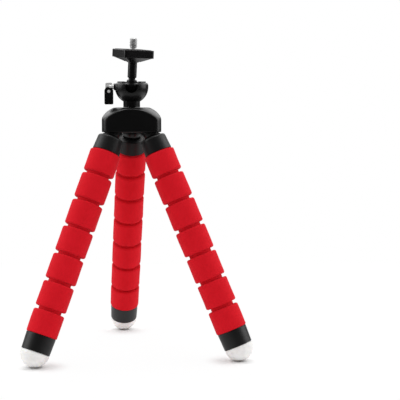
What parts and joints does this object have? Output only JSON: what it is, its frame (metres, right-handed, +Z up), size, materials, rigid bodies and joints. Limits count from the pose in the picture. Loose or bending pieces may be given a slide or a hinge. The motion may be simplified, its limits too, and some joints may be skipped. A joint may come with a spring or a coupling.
{
  "type": "flexible leg tripod",
  "caption": "Small table tripod with bendable foam-sleeved legs, a domed hub and a lockable ball head with a camera screw.",
  "frame": {"origin": "on the floor, on the axis of the hub and the cup", "axes": "+Z up along the hub's axis, -Y towards the cup's notch, +X to the right of it, with the lock at -X and one leg towards +Y"},
  "size_m": [0.1855, 0.1722, 0.261],
  "materials": {
    "screw_steel": "polished",
    "black_matte": "satin",
    "black_gloss": "gloss",
    "pad_rubber": "matte",
    "red_foam": "fine closed-cell foam",
    "white_rubber": "smooth",
    "soft_wire": "plain"
  },
  "bodies": {
    "hub": {"hub_cover": "black_gloss", "hub_base": "black_gloss", "hub_screws": "screw_steel"},
    "cup": {"ball_cup": "black_gloss", "head_bolt": "screw_steel"},
    "lever": {"lock_screw": "screw_steel", "lock_grip": "black_matte"},
    "ball": {"ball_stem": "black_matte"},
    "platform": {"platform": "black_matte", "platform_pad": "pad_rubber", "camera_screw": "screw_steel"},
    "left_1": {"left_top_collar": "black_gloss", "left_foam_1": "red_foam", "left_wire_core": "soft_wire"},
    "left_2": {"left_foam_2": "red_foam"},
    "left_3": {"left_foam_3": "red_foam"},
    "left_4": {"left_foam_4": "red_foam"},
    "left_5": {"left_foam_5": "red_foam"},
    "left_6": {"left_foam_6": "red_foam"},
    "left_7": {"left_foam_7": "red_foam", "left_bottom_collar": "black_gloss", "left_foot": "white_rubber"},
    "right_1": {"right_top_collar": "black_gloss", "right_foam_1": "red_foam", "right_wire_core": "soft_wire"},
    "right_2": {"right_foam_2": "red_foam"},
    "right_3": {"right_foam_3": "red_foam"},
    "right_4": {"right_foam_4": "red_foam"},
    "right_5": {"right_foam_5": "red_foam"},
    "right_6": {"right_foam_6": "red_foam"},
    "right_7": {"right_foam_7": "red_foam", "right_bottom_collar": "black_gloss", "right_foot": "white_rubber"},
    "back_1": {"back_top_collar": "black_gloss", "back_foam_1": "red_foam", "back_wire_core": "soft_wire"},
    "back_2": {"back_foam_2": "red_foam"},
    "back_3": {"back_foam_3": "red_foam"},
    "back_4": {"back_foam_4": "red_foam"},
    "back_5": {"back_foam_5": "red_foam"},
    "back_6": {"back_foam_6": "red_foam"},
    "back_7": {"back_foam_7": "red_foam", "back_bottom_collar": "black_gloss", "back_foot": "white_rubber"}
  },
  "joints": [
    {"name": "head_pan", "type": "hinge", "parent": "hub", "child": "cup", "pos_m": [0, 0, 0.20417], "axis": [0, 0, 1], "continuous": true},
    {"name": "ball_tilt", "type": "hinge", "parent": "cup", "child": "ball", "pos_m": [0, 0, 0.22107], "axis": [1, 0, 0], "range_deg": [-23.5, 86.5]},
    {"name": "platform_swivel", "type": "hinge", "parent": "ball", "child": "platform", "pos_m": [0, 0, 0.22107], "axis": [0.0488, -0.061, 0.9969], "continuous": true},
    {"name": "lock_lever", "type": "hinge", "parent": "cup", "child": "lever", "pos_m": [0, 0, 0.22107], "axis": [-1, 0, 0], "range_deg": [0, 180]},
    {"name": "left_hip", "type": "hinge", "parent": "hub", "child": "left_1", "pos_m": [-0.01533, -0.00885, 0.18367], "axis": [-0.606, 0.7955, 0], "range_deg": [-24, 0], "deforming": ["left_wire_core"]},
    {"name": "left_bend_1", "type": "hinge", "parent": "left_1", "child": "left_2", "pos_m": [-0.02751, -0.01813, 0.14927], "axis": [0.606, -0.7955, 0], "range_deg": [-15, 15]},
    {"name": "left_bend_2", "type": "hinge", "parent": "left_2", "child": "left_3", "pos_m": [-0.03499, -0.02383, 0.12817], "axis": [-0.7267, -0.5536, 0.4067], "range_deg": [-15, 15]},
    {"name": "left_bend_3", "type": "hinge", "parent": "left_3", "child": "left_4", "pos_m": [-0.04246, -0.02952, 0.10707], "axis": [-0.606, 0.7955, 0], "range_deg": [-15, 15]},
    {"name": "left_bend_4", "type": "hinge", "parent": "left_4", "child": "left_5", "pos_m": [-0.04993, -0.03521, 0.08596], "axis": [0.7267, 0.5536, -0.4067], "range_deg": [-15, 15]},
    {"name": "left_bend_5", "type": "hinge", "parent": "left_5", "child": "left_6", "pos_m": [-0.05741, -0.04091, 0.06486], "axis": [0.606, -0.7955, 0], "range_deg": [-15, 15]},
    {"name": "left_bend_6", "type": "hinge", "parent": "left_6", "child": "left_7", "pos_m": [-0.06488, -0.0466, 0.04376], "axis": [-0.7267, -0.5536, 0.4067], "range_deg": [-15, 15]},
    {"name": "right_hip", "type": "hinge", "parent": "hub", "child": "right_1", "pos_m": [0.01533, -0.00885, 0.18367], "axis": [-0.3859, -0.9225, 0], "range_deg": [-24, 0], "deforming": ["right_wire_core"]},
    {"name": "right_bend_1", "type": "hinge", "parent": "right_1", "child": "right_2", "pos_m": [0.02946, -0.01476, 0.14927], "axis": [0.3859, 0.9225, 0], "range_deg": [-15, 15]},
    {"name": "right_bend_2", "type": "hinge", "parent": "right_2", "child": "right_3", "pos_m": [0.03813, -0.01839, 0.12817], "axis": [0.8428, -0.3525, 0.4067], "range_deg": [-15, 15]},
    {"name": "right_bend_3", "type": "hinge", "parent": "right_3", "child": "right_4", "pos_m": [0.04679, -0.02201, 0.10707], "axis": [-0.3859, -0.9225, 0], "range_deg": [-15, 15]},
    {"name": "right_bend_4", "type": "hinge", "parent": "right_4", "child": "right_5", "pos_m": [0.05546, -0.02564, 0.08596], "axis": [-0.8428, 0.3525, -0.4067], "range_deg": [-15, 15]},
    {"name": "right_bend_5", "type": "hinge", "parent": "right_5", "child": "right_6", "pos_m": [0.06413, -0.02926, 0.06486], "axis": [0.3859, 0.9225, 0], "range_deg": [-15, 15]},
    {"name": "right_bend_6", "type": "hinge", "parent": "right_6", "child": "right_7", "pos_m": [0.0728, -0.03289, 0.04376], "axis": [0.8428, -0.3525, 0.4067], "range_deg": [-15, 15]},
    {"name": "back_hip", "type": "hinge", "parent": "hub", "child": "back_1", "pos_m": [0, 0.0177, 0.18367], "axis": [0.9919, 0.1271, 0], "range_deg": [-24, 0], "deforming": ["back_wire_core"]},
    {"name": "back_bend_1", "type": "hinge", "parent": "back_1", "child": "back_2", "pos_m": [-0.00195, 0.03289, 0.14927], "axis": [-0.9919, -0.1271, 0], "range_deg": [-15, 15]},
    {"name": "back_bend_2", "type": "hinge", "parent": "back_2", "child": "back_3", "pos_m": [-0.00314, 0.04221, 0.12817], "axis": [-0.1161, 0.9061, 0.4067], "range_deg": [-15, 15]},
    {"name": "back_bend_3", "type": "hinge", "parent": "back_3", "child": "back_4", "pos_m": [-0.00433, 0.05153, 0.10707], "axis": [0.9919, 0.1271, 0], "range_deg": [-15, 15]},
    {"name": "back_bend_4", "type": "hinge", "parent": "back_4", "child": "back_5", "pos_m": [-0.00553, 0.06085, 0.08596], "axis": [0.1161, -0.9061, -0.4067], "range_deg": [-15, 15]},
    {"name": "back_bend_5", "type": "hinge", "parent": "back_5", "child": "back_6", "pos_m": [-0.00672, 0.07017, 0.06486], "axis": [-0.9919, -0.1271, 0], "range_deg": [-15, 15]},
    {"name": "back_bend_6", "type": "hinge", "parent": "back_6", "child": "back_7", "pos_m": [-0.00792, 0.07949, 0.04376], "axis": [-0.1161, 0.9061, 0.4067], "range_deg": [-15, 15]}
  ]
}
